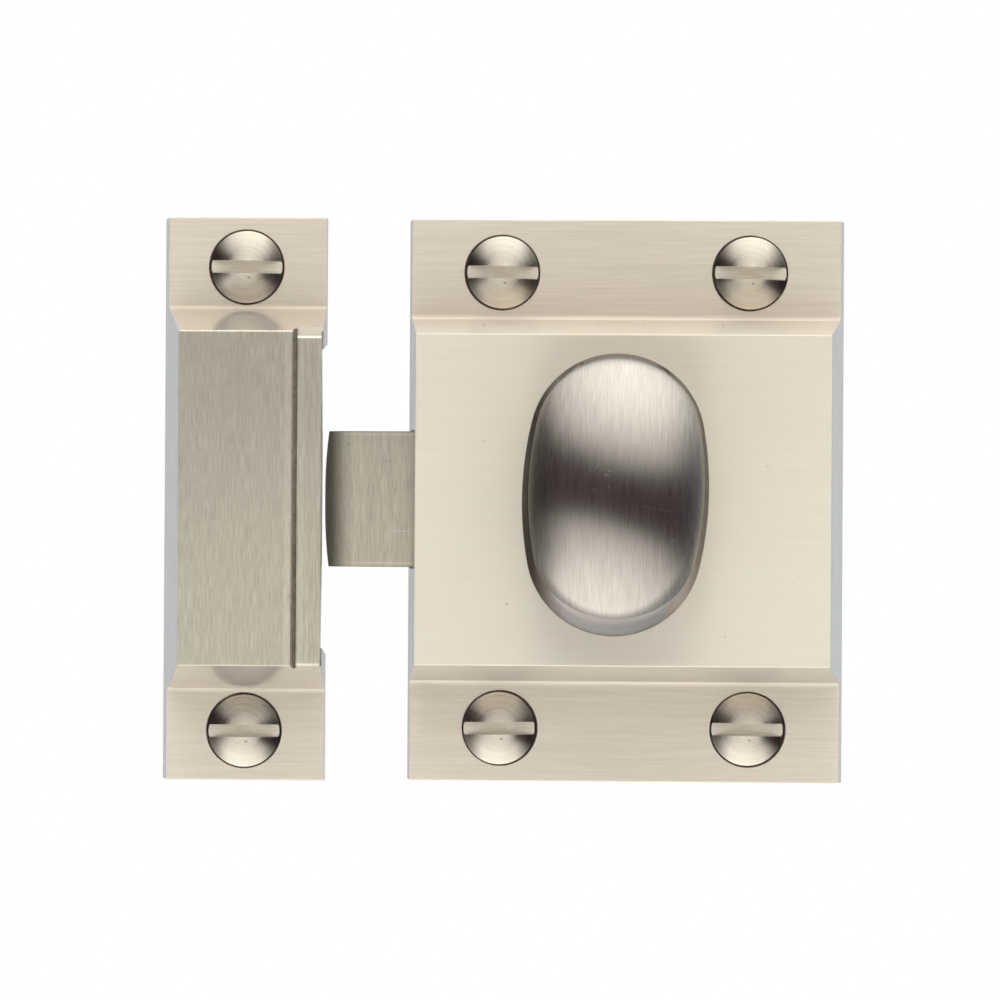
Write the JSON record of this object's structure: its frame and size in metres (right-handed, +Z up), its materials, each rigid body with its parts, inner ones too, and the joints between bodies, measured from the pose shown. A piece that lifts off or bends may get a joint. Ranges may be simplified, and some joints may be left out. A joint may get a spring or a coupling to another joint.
{
  "type": "cupboard catch latch",
  "caption": "Surface-mounted cupboard turn latch: a cast case with an oval turn knob and a spring bolt, and its separate bridge keeper.",
  "frame": {"origin": "middle of the case's back face, on the door's surface and at the middle of its four screws", "axes": "+Z up along the case's height as mounted, -Y out of the door towards the user, +X away from the keeper"},
  "size_m": [0.0617, 0.0361, 0.051],
  "materials": {
    "castings": "satin nickel plate, brushed",
    "knob": "satin nickel plate, brushed lengthwise",
    "bolt": "satin nickel plate, brushed",
    "screws": "nickel plate, polished",
    "small_screws": "zinc plated steel",
    "inner_brass": "plain rolled brass",
    "spring": "drawn steel wire"
  },
  "bodies": {
    "root": {"case": "castings", "back_plate": "inner_brass", "back_plate_screw_1": "small_screws", "back_plate_screw_2": "small_screws", "back_plate_screw_3": "small_screws", "back_plate_screw_4": "small_screws", "knob_washer": "inner_brass", "cam_washer": "inner_brass", "bolt_spring": "spring", "case_screw_1": "screws", "case_screw_2": "screws", "case_screw_3": "screws", "case_screw_4": "screws", "keeper": "castings", "keeper_screw_1": "screws", "keeper_screw_2": "screws"},
    "knob_body": {"knob": "knob", "cam": "inner_brass", "cam_screw": "small_screws"},
    "bolt_body": {"bolt": "bolt"}
  },
  "joints": [
    {"name": "knob_turn", "type": "hinge", "parent": "root", "child": "knob_body", "pos_m": [-0.0005, 0, 0.0004], "axis": [0, 1, 0], "range_deg": [0, 80]},
    {"name": "bolt_slide", "type": "slide", "parent": "root", "child": "bolt_body", "axis": [1, 0, 0], "range_m": [0, 0.00715], "stiffness_N_per_m": 350, "springref_m": -0.006, "deforming": ["bolt_spring"]}
  ],
  "couplings": [
    {"joint": "knob_turn", "follows": "bolt_slide", "rad_per_m": 195.28}
  ]
}
